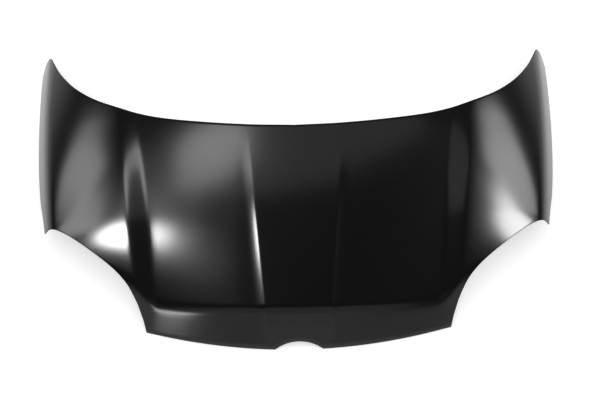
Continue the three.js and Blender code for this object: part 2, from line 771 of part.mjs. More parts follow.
// Inner frame: flange in the hem, sunken floor, window rims turned up to the skin, flat pads for the fittings
function innerFrame() {
  const sheet = new Sheet();
  const flangeDepth = skinSheet + hemClearance + frameSheet;
  const through = (normal) => normal.clone().multiplyScalar(frameSheet);
  const flange = (reach) => rim.map((place) => (
    sheet.vertex(underBand(place, reach, flangeDepth), stepUp(place, reach, flangeDepth, frameSheet))
  ));
  const beyond = (run, drop) => rim.map((place) => {
    const low = pastBand(place, run, flangeDepth + drop);
    return sheet.vertex(low, pastBand(place, run, flangeDepth + drop - frameSheet).sub(low));
  });
  const sunken = (ring, depth) => ring.map((p) => {
    const z = skinHeight(p.x, p.y) - depth;
    return sheet.vertex(new THREE.Vector3(p.x, p.y, z), through(skinNormal(p.x, p.y)));
  });
  const level = (ring, z) => ring.map((p) => (
    sheet.vertex(new THREE.Vector3(p.x, p.y, z), new THREE.Vector3(0, 0, frameSheet))
  ));

  const edge = flange(0);
  const band = flange(hemReturn);
  const root = beyond(rootRun, rootDrop);
  const neck = beyond(neckRun, neckDrop);
  const floorEdge = sunken(floorOutline(), frameDepth);
  sheet.strip(edge, band);
  sheet.strip(band, root);
  sheet.strip(root, neck);
  sheet.fill(neck, [floorEdge]);

  const holes = [];
  windowRings.forEach((ring) => {
    const foot = sunken(insetRing(ring, -rimLand - rimWallRun), frameDepth);
    const top = sunken(insetRing(ring, -rimLand), landDepth);
    sheet.strip(foot, top);
    sheet.strip(top, sunken(ring, landDepth));
    holes.push(foot);
  });
  const pad = (x, y, width, length, z, bores) => {
    const foot = sunken(padRing(x, y, width, length, padWallRun), frameDepth);
    const face = level(padRing(x, y, width, length, 0), z);
    sheet.strip(foot, face);
    sheet.fill(face, bores.map((bore) => level(bore, z)));
    holes.push(foot);
  };
  [-1, 1].forEach((side) => {
    const bores = hingeBoltYs.map((y) => circleRing(side * hingeX, y, hingeBoltHole / 2, 12));
    pad(side * hingeX, hingeY, hingePadWidth, hingePadLength, hingePadZ, bores);
  });
  pad(0, strikerY, strikerPadWidth, strikerPadLength, strikerPadZ, []);
  sheet.fill(floorEdge, holes, sunken(loosePlaces(sheet, [floorEdge, ...holes]), frameDepth));
  let solid = toSolid(flipped(sheet));
  drainPlaces.forEach(({ x, y }) => {
    solid = solid.subtract(drainCutter(x, y));
    if (x > 0) solid = solid.subtract(drainCutter(-x, y));
  });
  return toGeometry(solid);
}

// Places in plan on an even pattern, inside the first ring, outside the others and clear of them all
function loosePlaces(sheet, rings) {
  const flat = (k) => new THREE.Vector2(sheet.places[k].x, sheet.places[k].y);
  const outlines = rings.map((ring) => ring.map(flat));
  const inside = (ring, p) => ring.reduce((odd, a, k) => {
    const b = ring[(k + 1) % ring.length];
    const crosses = (a.y > p.y) !== (b.y > p.y) && p.x < a.x + ((p.y - a.y) * (b.x - a.x)) / (b.y - a.y);
    return odd !== crosses;
  }, false);
  const near = (ring, p) => ring.some((a, k) => {
    const b = ring[(k + 1) % ring.length];
    const side = b.clone().sub(a);
    const share = clamp01(p.clone().sub(a).dot(side) / side.lengthSq());
    return a.clone().addScaledVector(side, share).distanceTo(p) < looseClear;
  });
  const places = [];
  const half = Math.ceil(shoulderHalfWidth / loosePitch);
  for (let i = -half; i <= half; i += 1) {
    for (let j = 0; j * loosePitch < tipY; j += 1) {
      const p = new THREE.Vector2(i * loosePitch, j * loosePitch);
      const free = inside(outlines[0], p) && !outlines.slice(1).some((ring) => inside(ring, p));
      if (free && !outlines.some((ring) => near(ring, p))) places.push(p);
    }
  }
  return places;
}

// The frame's sheet is laid out on its underside, so its faces are turned over
function flipped(sheet) {
  const geometry = sheet.solid();
  const index = geometry.getIndex();
  for (let k = 0; k < index.count; k += 3) {
    const first = index.getX(k);
    index.setX(k, index.getX(k + 1));
    index.setX(k + 1, first);
  }
  return geometry;
}

// Outline of the frame's sunken floor: a set distance inside the hem's return, and clear of the shoulders
function floorOutline() {
  const front = [];
  const rear = [];
  for (let i = 0; i <= rollColumn; i += 1) {
    const line = columnLines[i];
    const start = rightCells[i][0];
    const end = rightCells[i][lastRow];
    const steepness = (edge, p) => Math.hypot(1, (edge(p.x + 4) - edge(p.x)) / 4);
    const steepFront = i < cornerColumn ? Math.hypot(1, noseSlope) : steepness(lampEdge, rightEdges.front[i]);
    const frontY = start.y + frameWallRun * steepFront;
    const rearY = end.y - frameWallRun * steepness(rearEdge, rightEdges.rear[i]);
    front.push(new THREE.Vector2(line(frontY), frontY));
    rear.push(new THREE.Vector2(line(rearY), rearY));
  }
  const side = [];
  const sideParts = 14;
  for (let k = 1; k < sideParts; k += 1) {
    const y = lerp(front[rollColumn].y, rear[rollColumn].y, k / sideParts);
    side.push(new THREE.Vector2(rollLine(y), y));
  }
  const right = [...front, ...side, ...rear.slice(1).reverse()];
  const left = right.slice(1).reverse().map((p) => mirrored(p, -1));
  return [...right, new THREE.Vector2(0, rear[0].y), ...left];
}

// Flat plate with round holes, lying on height z
function plate(x, y, z, width, length, thickness, bores) {
  const shape = new THREE.Shape(padRing(0, 0, width, length, 0));
  bores.forEach((bore) => shape.holes.push(new THREE.Path(bore)));
  const geometry = new THREE.ExtrudeGeometry(shape, { depth: thickness, bevelEnabled: false });
  return geometry.translate(x, y, z);
}

function weldNut(x, y, z) {
  const shape = new THREE.Shape(circleRing(0, 0, nutAcross / Math.sqrt(3), 6));
  shape.holes.push(new THREE.Path(circleRing(0, 0, nutBore / 2, 12)));
  const geometry = new THREE.ExtrudeGeometry(shape, { depth: nutHeight, bevelEnabled: false });
  return geometry.translate(x, y, z);
}

// The striker's loop: one round wire bent to a U, its legs upwards
function strikerLoop(top) {
  const half = strikerSpan / 2;
  const bottom = top - strikerReach;
  const path = new THREE.CurvePath();
  const at = (x, z) => new THREE.Vector3(x, strikerY, z);
  const k = strikerBend * 0.448;
  const bendTop = bottom + strikerBend;
  const bendIn = half - strikerBend;
  path.add(new THREE.LineCurve3(at(-half, top), at(-half, bendTop)));
  path.add(new THREE.CubicBezierCurve3(
    at(-half, bendTop), at(-half, bottom + k), at(-half + k, bottom), at(-bendIn, bottom),
  ));
  path.add(new THREE.LineCurve3(at(-bendIn, bottom), at(bendIn, bottom)));
  path.add(new THREE.CubicBezierCurve3(
    at(bendIn, bottom), at(half - k, bottom), at(half, bottom + k), at(half, bendTop),
  ));
  path.add(new THREE.LineCurve3(at(half, bendTop), at(half, top)));
  const section = new THREE.Shape(circleRing(0, 0, strikerWire / 2, 10));
  return new THREE.ExtrudeGeometry(section, { extrudePath: path, steps: 36, bevelEnabled: false });
}

// A mastic pad between the land of a window's rim and the skin, square to the skin
function masticPad(p) {
  const normal = skinNormal(p.x, p.y);
  const low = landDepth - frameSheet - seatGap;
  const high = skinSheet + masticTopGap;
  const rise = low * normal.z - high;
  const geometry = new THREE.CylinderGeometry(masticRadius, masticRadius, rise, 10);
  geometry.rotateX(Math.PI / 2);
  geometry.applyQuaternion(new THREE.Quaternion().setFromUnitVectors(new THREE.Vector3(0, 0, 1), normal));
  const middle = onSkin(p).addScaledVector(normal, -(high + rise / 2));
  return geometry.translate(middle.x, middle.y, middle.z);
}

// Materials: black dip-coated steel, dull zinc plate and grey mastic
const finish = (color, roughness, metalness) => (
  new THREE.MeshStandardMaterial({ color, roughness, metalness })
);
const coatedSteel = (colour) => finish(colour, 0.34, 0.1);
const platedSteel = () => finish(0x8c8f92, 0.4, 0.9);
const mastic = () => finish(0x3a3c3e, 0.85, 0);

const bonnet = new THREE.Group();

function addPiece(name, geometry, material) {
  const mesh = new THREE.Mesh(geometry, material);
  mesh.name = name;
  bonnet.add(mesh);
}

addPiece('outer_skin', outerSkin(), coatedSteel(0x121315));
addPiece('inner_frame', innerFrame(), coatedSteel(0x17191b));

const sides = { left: -1, right: 1 };
Object.entries(sides).forEach(([side, sign]) => {
  const plateZ = hingePadZ + frameSheet + seatGap;
  const bores = hingeBoltYs.map((y) => circleRing(0, y - hingeY, hingeBoltHole / 2, 12));
  const width = hingePadWidth - 2 * padEdgeClearance;
  const length = hingePadLength - 2 * padEdgeClearance;
  const geometry = plate(sign * hingeX, hingeY, plateZ, width, length, hingePlateSheet, bores);
  addPiece(`hinge_plate_${side}`, geometry, coatedSteel(0x1a1c1e));
  hingeBoltYs.forEach((y, k) => {
    const nut = weldNut(sign * hingeX, y, plateZ + hingePlateSheet + seatGap);
    addPiece(`hinge_nut_${side}_${k + 1}`, nut, platedSteel());
  });
});

const latchWidth = strikerPadWidth - 2 * padEdgeClearance;
const latchLength = strikerPadLength - 2 * padEdgeClearance;
const latchZ = strikerPadZ + frameSheet + seatGap;
const strikerPlateZ = strikerPadZ - seatGap - strikerPlateSheet;
addPiece(
  'latch_plate',
  plate(0, strikerY, latchZ, latchWidth, latchLength, latchPlateSheet, []),
  coatedSteel(0x1a1c1e),
);
addPiece(
  'striker_plate',
  plate(0, strikerY, strikerPlateZ, strikerPlateWidth, strikerPlateLength, strikerPlateSheet, []),
  coatedSteel(0x1a1c1e),
);
addPiece('striker_loop', strikerLoop(strikerPlateZ - seatGap), platedSteel());

windowRings.forEach((ring, w) => {
  const land = insetRing(ring, -rimLand / 2);
  const pads = w === 0 ? 6 : 4;
  for (let k = 0; k < pads; k += 1) {
    const place = land[Math.floor(((k + 0.5) * land.length) / pads) % land.length];
    addPiece(`mastic_pad_${w + 1}_${k + 1}`, masticPad(place), mastic());
  }
});

// The origin is under the middle of the bonnet, on the ground that its nose and its two tips rest on
const box = new THREE.Box3().setFromObject(bonnet, true);
const middle = box.getCenter(new THREE.Vector3());
bonnet.children.forEach((mesh) => mesh.geometry.translate(-middle.x, -middle.y, -box.min.z));

export default bonnet;
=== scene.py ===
"""A car bonnet in black dip-coated steel, lying on its nose and its two rear tips.

Metres. X is across the car, Y runs from the nose to the windscreen, Z is up. The shapes are worked out in
the bonnet's own drawing, whose Y starts at the front edge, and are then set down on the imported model.
"""

import math

import bmesh
import bpy
from mathutils import Matrix, Vector
from mathutils.kdtree import KDTree


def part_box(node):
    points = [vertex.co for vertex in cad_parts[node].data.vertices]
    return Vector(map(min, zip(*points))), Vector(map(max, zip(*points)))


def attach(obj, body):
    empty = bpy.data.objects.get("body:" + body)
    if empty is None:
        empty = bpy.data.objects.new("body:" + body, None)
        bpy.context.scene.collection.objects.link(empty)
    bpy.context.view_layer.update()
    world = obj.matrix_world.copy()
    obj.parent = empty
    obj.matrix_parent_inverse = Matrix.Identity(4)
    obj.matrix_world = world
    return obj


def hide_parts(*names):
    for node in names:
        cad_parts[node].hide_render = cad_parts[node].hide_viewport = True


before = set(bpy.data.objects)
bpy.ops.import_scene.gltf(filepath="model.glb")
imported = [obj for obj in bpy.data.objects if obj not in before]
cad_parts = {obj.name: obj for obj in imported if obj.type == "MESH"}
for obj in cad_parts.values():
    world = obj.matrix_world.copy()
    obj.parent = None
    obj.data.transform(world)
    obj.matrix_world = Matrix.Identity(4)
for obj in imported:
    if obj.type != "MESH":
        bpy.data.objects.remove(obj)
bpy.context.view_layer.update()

# Camera
# A 75 mm lens, 3.3 m from the bonnet and 60 degrees above its nose. It leans by about a degree, and the
# bonnet's middle lies a little left of the picture's.

view_target = Vector((0, -0.0555, 0.0845))
view_distance = 3.334
view_rise = math.radians(60)
view_lean = math.radians(1.1)
middle_off = 3.6
picture_width = 600

towards_camera = Vector((0, -math.cos(view_rise), math.sin(view_rise)))
level = Vector((1, 0, 0))
upright = towards_camera.cross(level)
rightwards = level * math.cos(view_lean) - upright * math.sin(view_lean)
upwards = level * math.sin(view_lean) + upright * math.cos(view_lean)

lens = bpy.data.cameras.new("view")
lens.lens = 75
lens.sensor_width = 36
lens.shift_x = middle_off / picture_width
camera = bpy.data.objects.new("view", lens)
stand = view_target + towards_camera * view_distance
turned = Matrix((rightwards, upwards, towards_camera)).transposed().to_4x4()
camera.matrix_world = Matrix.Translation(stand) @ turned
bpy.context.collection.objects.link(camera)
bpy.context.scene.camera = camera

# Outer skin
# The panel that shows: one sheet of 0.8 mm steel, drawn in a press with a crowned top, two fine creases,
# two wide ledges, a nose face and side walls. Its edge is rolled under as a hem that grips the inner frame.

sheet = 0.0008
hem_return = 0.011
fold_radius = 0.0017
fold_reach = 0.0012

nose_top = 0.060
crown_rise = 0.335
crown_sag = 0.0549
rear_middle = 0.560
crown_gentle = 0.45

lamp_corner_y = 0.320
lamp_corner_out = 0.013
tip_y = 0.875
tip_out = 0.076
shoulder_start = 0.330
shoulder_run = 0.560
shoulder_half = 0.656
shoulder_spread = 0.074
shoulder_tuck = 0.026
shoulder_height = 0.091
shoulder_lift = 0.020
shoulder_drop = 0.052
shoulder_radius = 0.006
shoulder_clear = 0.025
wall_slope = 2.2
wall_foot_front = 0.057
wall_foot_rear = -0.001
corner_droop = 0.0556
droop_x = 0.400
droop_run = 0.330

nose_slope = 1.12
nose_round = 0.010
nose_sweep = 0.0559
front_corner_x = 0.394
corner_turn = 0.2
corner_turn_radius = 0.012
shortest_nose = 0.014
notch_half = 0.062
notch_depth = 0.014
notch_splay = 0.05

crease_x = 0.077
crease_splay = 0.09
crease_height = 0.0030
crease_flank = 0.030
crease_radius = 0.002
swell_rise_run = 0.060
swell_fall_run = 0.250

ledge_inner_x = 0.352
ledge_outer_x = 0.402
ledge_splay = 0.117
ledge_height = 0.012
ledge_rear_loss = 0.007
ledge_loss_start = 0.420
ledge_loss_run = 0.180
ledge_start_x = 0.150
ledge_radius = 0.009
ledge_lead = 0.030


def clamp(t):
    return min(max(t, 0.0), 1.0)


def ease(t):
    return clamp(t) ** 2 * (3 - 2 * clamp(t))


def mix(a, b, t):
    return a + (b - a) * t


def soft_step(t, radius):
    return (t + math.hypot(t, radius)) / 2


def soft_plus(t):
    return t if t > 30 else math.log1p(math.exp(t))


def curve_between(start, end, shares):
    """A smooth curve y(x) through points given as shares of the way from one corner to another."""
    points = [(mix(start[0], end[0], s), mix(start[1], end[1], t)) for s, t in shares]
    last = len(points) - 1

    def slope(k):
        a, b = points[max(k - 1, 0)], points[min(k + 1, last)]
        return (b[1] - a[1]) / (b[0] - a[0])

    def height(x):
        k = 0
        while k < last - 1 and x > points[k + 1][0]:
            k += 1
        (x0, y0), (x1, y1) = points[k], points[k + 1]
        t = clamp((x - x0) / (x1 - x0))
        h = t * t * (3 - 2 * t)
        bend = t * (1 - t) * (x1 - x0) * ((1 - t) * slope(k) - t * slope(k + 1))
        return mix(y0, y1, h) + bend

    return height


def crown_height(y):
    return nose_top + crown_rise * y - crown_sag * (y / rear_middle) ** 2


def shoulder_x(y):
    share = (y - shoulder_start) / shoulder_run
    return shoulder_half + shoulder_spread * share - shoulder_tuck * share**2


def shoulder_z(y):
    share = (y - shoulder_start) / shoulder_run
    return shoulder_height + shoulder_lift * share - shoulder_drop * share**2


def ledge(x, y):
    inner = ledge_inner_x + ledge_splay * y
    outer = ledge_outer_x + ledge_splay * y
    edge = shoulder_x(y)
    steps = [soft_step(x - p, ledge_radius) for p in (ledge_start_x, inner, outer, edge)]
    fall = (steps[0] - steps[1]) / (inner - ledge_start_x)
    lift = (steps[1] - steps[2]) / (outer - inner)
    off = (steps[2] - steps[3]) / (edge - outer)
    height = ledge_height - ledge_rear_loss * ease((y - ledge_loss_start) / ledge_loss_run)
    return height * (lift - (fall + off) / 2)


def swell(x, y):
    outside = soft_step(x - crease_x - crease_splay * y, crease_radius) / crease_flank
    fade = ease(y / swell_rise_run) * ease((rear_middle - y) / swell_fall_run)
    return crease_height * fade * max(1 - outside, 0) ** 2


def top_height(x, y):
    edge = shoulder_x(y)
    share = min(x / edge, 1)
    fall = crown_height(y) - shoulder_z(y)
    spread = crown_gentle * share**2 + (1 - crown_gentle) * share**5
    edge_slope = fall * (2 * crown_gentle + 5 * (1 - crown_gentle)) / edge
    rolled = shoulder_radius * soft_plus((x - edge) / shoulder_radius)
    wall = edge_slope * max(x - edge, 0) + (wall_slope - edge_slope) * rolled
    droop = corner_droop * (x / droop_x) ** 2 * clamp(1 - y / droop_run) ** 2
    return crown_height(y) - fall * spread - wall - droop + ledge(x, y)


def front_line(x):
    bowed = min(x, front_corner_x)
    square = bowed**2 - notch_half**2 + 2 * front_corner_x * (x - bowed)
    return nose_sweep * square / front_corner_x**2


def nose_height(x, y):
    turn = (x - front_corner_x) / corner_turn_radius
    foot = front_line(x) + corner_turn * corner_turn_radius * soft_plus(turn)
    bend = 2 * nose_sweep * min(x, front_corner_x) / front_corner_x**2
    tilt = bend + corner_turn / (1 + math.exp(-turn))
    return nose_slope * (y - foot) / math.hypot(1, tilt)


def skin_height(across, y):
    x = abs(across)
    top, nose = top_height(x, y), nose_height(x, y)
    blend = clamp(0.5 + 0.5 * (nose - top) / nose_round)
    return mix(nose, top, blend) - nose_round * blend * (1 - blend) + swell(x, y)


def skin_normal(x, y):
    step = 0.0004
    along_x = (skin_height(x + step, y) - skin_height(x - step, y)) / (2 * step)
    along_y = (skin_height(x, y + step) - skin_height(x, y - step)) / (2 * step)
    return Vector((-along_x, -along_y, 1)).normalized()


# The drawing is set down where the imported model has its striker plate
striker_y = 0.106
striker_drop = 0.0303
plate_low, plate_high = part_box("striker_plate")
set_back = (plate_low.y + plate_high.y) / 2 - striker_y
set_up = plate_high.z + striker_drop - skin_height(0, striker_y)
set_down = Vector((0, set_back, set_up))


def on_skin(x, y):
    return Vector((x, y, skin_height(x, y))) + set_down


lamp_edge = curve_between(
    (front_corner_x, front_line(front_corner_x)),
    (shoulder_half + lamp_corner_out, lamp_corner_y),
    [
        (0, 0), (0.033, 0.122), (0.084, 0.239), (0.16, 0.371), (0.265, 0.492), (0.385, 0.601),
        (0.535, 0.725), (0.684, 0.842), (0.807, 0.932), (0.895, 0.974), (0.949, 0.992), (1, 1),
    ],
)
rear_edge = curve_between(
    (0, rear_middle),
    (shoulder_half + tip_out, tip_y),
    [
        (0, 0), (0.164, 0.016), (0.328, 0.057), (0.484, 0.121), (0.587, 0.197), (0.683, 0.298),
        (0.758, 0.406), (0.825, 0.546), (0.877, 0.695), (0.914, 0.844), (0.939, 0.971),
        (0.956, 1.054), (0.974, 1.079), (0.989, 1.063), (1, 1),
    ],
)
notch_edge = curve_between(
    (0, notch_depth), (notch_half, 0), [(0, 0), (0.5, 0.214), (0.806, 0.643), (1, 1)]
)
wall_foot = curve_between(
    (lamp_corner_y, wall_foot_front),
    (tip_y, wall_foot_rear),
    [
        (0, 0), (0.09, 0.12), (0.189, 0.345), (0.351, 0.517), (0.494, 0.603), (0.735, 0.776),
        (0.937, 0.966), (1, 1),
    ],
)


def wall_x(y):
    """How far out the side wall reaches."""
    x = shoulder_x(y) + shoulder_radius
    for _ in range(12):
        x += (skin_height(x, y) - wall_foot(y)) / wall_slope
    return x


def front_edge(x):
    if x < notch_half:
        return notch_edge(x)
    return front_line(x) if x < front_corner_x else lamp_edge(x)


def settle(line, edge):
    """Where a line x(y) meets an edge y(x)."""
    y = edge(line(lamp_corner_y))
    for _ in range(40):
        y = edge(line(y))
    return y


def beside(line, distance):
    return lambda y: line(y) + distance


def between(a, b, share):
    return lambda y: mix(a(y), b(y), share)


def middle_line(y):
    return 0.0


def notch_line(y):
    return notch_half + notch_splay * y


def crease_line(y):
    return crease_x + crease_splay * y


def inner_line(y):
    return ledge_inner_x + ledge_splay * y


def outer_line(y):
    return ledge_outer_x + ledge_splay * y


def corner_line(y):
    return front_corner_x + ledge_splay * (y - front_line(front_corner_x))


# Lines from nose to windscreen that bound each stretch of the sheet, with how many columns lead to the next
stretches = [
    (middle_line, 12),
    (notch_line, 4),
    (beside(crease_line, -3 * crease_radius), 2),
    (beside(crease_line, -crease_radius), 2),
    (crease_line, 2),
    (beside(crease_line, crease_radius), 3),
    (beside(crease_line, 4 * crease_radius), 6),
    (beside(crease_line, crease_flank), 20),
    (beside(inner_line, -ledge_lead), 4),
    (beside(inner_line, -ledge_radius), 8),
    (beside(inner_line, ledge_radius), 3),
    (corner_line, 2),
    (beside(outer_line, -ledge_radius), 8),
    (beside(outer_line, ledge_radius), 3),
    (beside(outer_line, 3 * ledge_radius), 20),
    (beside(shoulder_x, -shoulder_clear), 5),
    (beside(shoulder_x, -2 * shoulder_radius), 4),
    (beside(shoulder_x, -0.7 * shoulder_radius), 4),
    (beside(shoulder_x, 0.3 * shoulder_radius), 4),
    (between(shoulder_x, wall_x, 0.3), 8),
    (wall_x, 1),
]
column_lines = []
for (line, parts), (next_line, _) in zip(stretches, stretches[1:]):
    column_lines += [between(line, next_line, k / parts) for k in range(parts)]
last_column = len(column_lines)

nose_rows = 6
fold_rows = 8
top_rows = 66
last_row = nose_rows + fold_rows + top_rows


def nose_break(line, start):
    """Where the nose face meets the top."""
    low, high = start, start + 2 * nose_top
    for _ in range(20):
        y = (low + high) / 2
        low, high = (y, high) if nose_height(line(y), y) < top_height(line(y), y) else (low, y)
    return low


def row_places(line):
    """Places along a line, closer together where the nose face rolls into the top."""
    start, end = settle(line, front_edge), settle(line, rear_edge)
    depth = max(nose_break(line, start) - start, shortest_nose)
    reach = 1.5 * min(nose_round, depth / 4)
    rows = [mix(start, start + depth - reach, k / nose_rows) for k in range(nose_rows)]
    rows += [start + depth + reach * (2 * k / fold_rows - 1) for k in range(fold_rows)]
    rows += [mix(start + depth + reach, end, k / top_rows) for k in range(top_rows + 1)]
    return [(line(y), y) for y in rows]


half_grid = [row_places(line) for line in column_lines]
beside_wall = half_grid[-1]
wall_span = beside_wall[-1][1] - beside_wall[0][1]
wall_ys = [mix(lamp_corner_y, tip_y, (y - beside_wall[0][1]) / wall_span) for _, y in beside_wall]
half_grid.append([(wall_x(y), y) for y in wall_ys])

bpy.ops.object.select_all(action="DESELECT")
bpy.ops.mesh.primitive_grid_add(x_subdivisions=2 * last_column, y_subdivisions=last_row, size=2)
skin = bpy.context.object
skin.name = "pressed_skin"
for vertex in skin.data.vertices:
    column = round(vertex.co.x * last_column)
    x, y = half_grid[abs(column)][round((vertex.co.y + 1) / 2 * last_row)]
    vertex.co = on_skin(math.copysign(x, column), y)

# The rim in order, anticlockwise from above, with the way outwards along the sheet at each place
turns = [(k, 0) for k in range(-last_column, last_column)]
turns += [(last_column, k) for k in range(last_row)]
turns += [(k, last_row) for k in range(last_column, -last_column, -1)]
turns += [(-last_column, k) for k in range(last_row, 0, -1)]
rim = []
for column, row in turns:
    x, y = half_grid[abs(column)][row]
    rim.append(Vector((math.copysign(x, column), y)))
rim_places = []
for k, corner in enumerate(rim):
    before = (corner - rim[k - 1]).normalized()
    after = (rim[(k + 1) % len(rim)] - corner).normalized()
    point = on_skin(*corner)
    normal = skin_normal(*corner)
    along = (before + after).to_3d()
    along.z = -(along.x * normal.x + along.y * normal.y) / normal.z
    stretch = min(2 / (before + after).length, 1.5)
    rim_places.append((point, normal, along.cross(normal).normalized(), stretch))


def apply_modifier(piece, kind, **settings):
    modifier = piece.modifiers.new(kind.lower(), kind)
    for key, value in settings.items():
        setattr(modifier, key, value)
    bpy.ops.object.modifier_apply(modifier=modifier.name)


fold_parts = 8
return_parts = 3
rings = []
for k in range(1, fold_parts + 1):
    angle = math.pi * k / fold_parts
    ring = []
    for point, normal, away, _ in rim_places:
        drop = normal * (math.cos(angle) - 1) * fold_radius
        ring.append(point + drop + away * math.sin(angle) * fold_reach)
    rings.append(ring)
for k in range(1, return_parts + 1):
    ring = []
    for point, normal, away, stretch in rim_places:
        inward = point - set_down - away * stretch * hem_return * k / return_parts
        under = skin_normal(inward.x, inward.y) * 2 * fold_radius
        ring.append(on_skin(inward.x, inward.y) - under)
    rings.append(ring)

bpy.ops.object.mode_set(mode="EDIT")
bpy.ops.mesh.select_mode(type="EDGE")
bpy.ops.mesh.select_all(action="DESELECT")
bpy.ops.mesh.select_non_manifold()
previous = [point for point, _, _, _ in rim_places]
for ring in rings:
    bpy.ops.mesh.extrude_edges_move()
    net = bmesh.from_edit_mesh(skin.data)
    nearby = KDTree(len(previous))
    for k, place in enumerate(previous):
        nearby.insert(place, k)
    nearby.balance()
    for vertex in net.verts:
        if vertex.select:
            vertex.co = ring[nearby.find(vertex.co)[1]]
    bmesh.update_edit_mesh(skin.data)
    previous = ring
bpy.ops.object.mode_set(mode="OBJECT")
apply_modifier(skin, "SOLIDIFY", thickness=sheet, offset=-1)
bpy.ops.object.shade_smooth_by_angle(angle=math.radians(35))


def shader_group(name, inputs, outputs):
    group = bpy.data.node_groups.new(name, "ShaderNodeTree")
    for label, kind, value in inputs:
        socket = group.interface.new_socket(label, in_out="INPUT", socket_type=kind)
        socket.default_value = value
    for label, kind in outputs:
        group.interface.new_socket(label, in_out="OUTPUT", socket_type=kind)
    return group, group.nodes.new("NodeGroupInput"), group.nodes.new("NodeGroupOutput")


def add_node(tree, kind, settings=None, **values):
    node = tree.nodes.new(kind)
    for key, value in (settings or {}).items():
        setattr(node, key, value)
    for key, value in values.items():
        node.inputs[key.replace("_", " ")].default_value = value
    return node


# Dip coat: a film a few hundredths thick. It dries with a faint orange peel, slow changes of sheen where it
# ran off, and a few dust nibs
film, film_in, film_out = shader_group(
    "dip_coat",
    [
        ("Film", "NodeSocketColor", (0.01, 0.01, 0.01, 1)),
        ("Dust", "NodeSocketColor", (0.1, 0.1, 0.1, 1)),
        ("Sheen", "NodeSocketFloat", 0.3),
        ("Sheen change", "NodeSocketFloat", 0.05),
        ("Dust share", "NodeSocketFloat", 0.5),
    ],
    [("Color", "NodeSocketColor"), ("Roughness", "NodeSocketFloat"), ("Height", "NodeSocketFloat")],
)
where = film.nodes.new("ShaderNodeTexCoord")
drift = add_node(film, "ShaderNodeTexNoise", Scale=6.0, Detail=3.0, Roughness=0.55)
peel = add_node(film, "ShaderNodeTexNoise", Scale=330.0, Detail=1.0, Roughness=0.4)
nibs = add_node(film, "ShaderNodeTexVoronoi", Scale=150.0, Randomness=1.0)
patches = add_node(film, "ShaderNodeTexNoise", Scale=14.0, Detail=5.0, Roughness=0.6)
for texture in (drift, peel, nibs, patches):
    film.links.new(where.outputs["Object"], texture.inputs["Vector"])
nib_size = add_node(film, "ShaderNodeMapRange", From_Min=0.035, From_Max=0.07, To_Min=1.0, To_Max=0.0)
film.links.new(nibs.outputs["Distance"], nib_size.inputs["Value"])
nib_place = add_node(film, "ShaderNodeMapRange", From_Min=0.55, From_Max=0.68)
film.links.new(patches.outputs["Fac"], nib_place.inputs["Value"])
nib_mask = add_node(film, "ShaderNodeMath", {"operation": "MULTIPLY"})
film.links.new(nib_size.outputs["Result"], nib_mask.inputs[0])
film.links.new(nib_place.outputs["Result"], nib_mask.inputs[1])
nib_share = add_node(film, "ShaderNodeMath", {"operation": "MULTIPLY"})
film.links.new(nib_mask.outputs[0], nib_share.inputs[0])
film.links.new(film_in.outputs["Dust share"], nib_share.inputs[1])
tint = add_node(film, "ShaderNodeMix", {"data_type": "RGBA"})
film.links.new(nib_share.outputs[0], tint.inputs["Factor"])
film.links.new(film_in.outputs["Film"], tint.inputs[6])
film.links.new(film_in.outputs["Dust"], tint.inputs[7])
centred = add_node(film, "ShaderNodeMath", {"operation": "SUBTRACT"})
centred.inputs[1].default_value = 0.5
film.links.new(drift.outputs["Fac"], centred.inputs[0])
change = add_node(film, "ShaderNodeMath", {"operation": "MULTIPLY_ADD"})
film.links.new(centred.outputs[0], change.inputs[0])
film.links.new(film_in.outputs["Sheen change"], change.inputs[1])
film.links.new(film_in.outputs["Sheen"], change.inputs[2])
dulled = add_node(film, "ShaderNodeMath", {"operation": "MULTIPLY_ADD"})
dulled.inputs[1].default_value = 0.25
film.links.new(nib_mask.outputs[0], dulled.inputs[0])
film.links.new(change.outputs[0], dulled.inputs[2])
relief = add_node(film, "ShaderNodeMath", {"operation": "MULTIPLY_ADD"})
relief.inputs[1].default_value = 0.8
film.links.new(nib_mask.outputs[0], relief.inputs[0])
film.links.new(peel.outputs["Fac"], relief.inputs[2])
film.links.new(tint.outputs[2], film_out.inputs["Color"])
film.links.new(dulled.outputs[0], film_out.inputs["Roughness"])
film.links.new(relief.outputs[0], film_out.inputs["Height"])


def dip_coated(name, colour, sheen, sheen_change, dust_share, peel_depth):
    """Steel with the dip coat over it."""
    material = bpy.data.materials.new(name)
    material.use_nodes = True
    tree = material.node_tree
    shader = tree.nodes["Principled BSDF"]
    coat = add_node(tree, "ShaderNodeGroup", {"node_tree": film})
    coat.inputs["Film"].default_value = (*colour, 1)
    coat.inputs["Dust"].default_value = (0.09, 0.09, 0.088, 1)
    coat.inputs["Sheen"].default_value = sheen
    coat.inputs["Sheen change"].default_value = sheen_change
    coat.inputs["Dust share"].default_value = dust_share
    bump = add_node(tree, "ShaderNodeBump", Strength=1.0, Distance=peel_depth)
    tree.links.new(coat.outputs["Color"], shader.inputs["Base Color"])
    tree.links.new(coat.outputs["Roughness"], shader.inputs["Roughness"])
    tree.links.new(coat.outputs["Height"], bump.inputs["Height"])
    tree.links.new(bump.outputs["Normal"], shader.inputs["Normal"])
    return material


def dress(piece, material, replaced):
    piece.data.materials.clear()
    piece.data.materials.append(material)
    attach(piece, "root")
    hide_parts(*replaced)


skin_coat = dip_coated("skin_coat", (0.003, 0.003, 0.0031), 0.165, 0.05, 0.4, 0.000004)
dress(skin, skin_coat, ["outer_skin"])

# Inner frame
# A second sheet of 0.8 mm steel with a sunken floor, windows whose rims turn up to the skin, flat pads for
# the hinges and the striker, and drain holes. Its flange sits in the hem, and the press rounds every bend.


